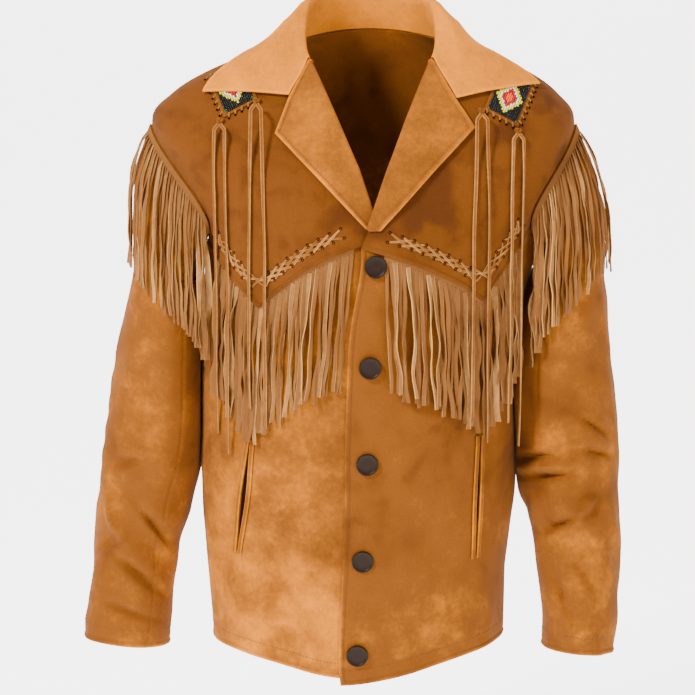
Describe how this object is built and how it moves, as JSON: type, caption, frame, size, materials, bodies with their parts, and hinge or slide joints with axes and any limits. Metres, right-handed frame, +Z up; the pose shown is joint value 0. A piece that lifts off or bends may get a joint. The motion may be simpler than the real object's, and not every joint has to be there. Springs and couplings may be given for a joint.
{
  "type": "fringed suede jacket",
  "caption": "Suede western jacket in worn shape: open collar and lapels, buttoned front, slanting welt pockets, fringed yokes and armholes, laced edges and beaded shoulder patches",
  "frame": {"origin": "at the neck, midway between the tops of the two shoulder seams, where a hanger or a wearer's neck would hold the jacket up", "axes": "+X to the wearer's left, -Y to the front of the jacket, +Z up"},
  "size_m": [0.6406, 0.2709, 0.7924],
  "materials": {
    "suede": "matt napped suede",
    "fringe_suede": "matt napped suede with cut edges",
    "lace": "matt suede lace",
    "patch_suede": "matt suede under beadwork",
    "button": "polished, dark brown"
  },
  "bodies": {
    "root": {"front_left": "suede", "front_right": "suede", "front_yoke_left": "suede", "front_yoke_right": "suede", "back": "suede", "back_yoke": "suede", "sleeve_left_upper": "suede", "sleeve_left_under": "suede", "sleeve_right_upper": "suede", "sleeve_right_under": "suede", "collar": "suede", "lapel_left": "suede", "lapel_right": "suede", "pocket_lip_left_outer": "suede", "pocket_lip_left_inner": "suede", "pocket_lip_right_outer": "suede", "pocket_lip_right_inner": "suede", "fringe_front_left": "fringe_suede", "fringe_front_right": "fringe_suede", "fringe_sleeve_left": "fringe_suede", "fringe_sleeve_right": "fringe_suede", "fringe_back": "fringe_suede", "thong_left_1a": "lace", "thong_left_1b": "lace", "thong_left_2a": "lace", "thong_left_2b": "lace", "thong_right_1a": "lace", "thong_right_1b": "lace", "thong_right_2a": "lace", "thong_right_2b": "lace", "knot_left_1": "lace", "knot_left_2": "lace", "knot_right_1": "lace", "knot_right_2": "lace", "yoke_lacing_left_under": "lace", "yoke_lacing_left_over": "lace", "yoke_lacing_right_under": "lace", "yoke_lacing_right_over": "lace", "button_1": "button", "button_2": "button", "button_3": "button", "button_4": "button", "button_5": "button", "shoulder_patch_left": "patch_suede", "shoulder_patch_right": "patch_suede"}
  },
  "joints": []
}
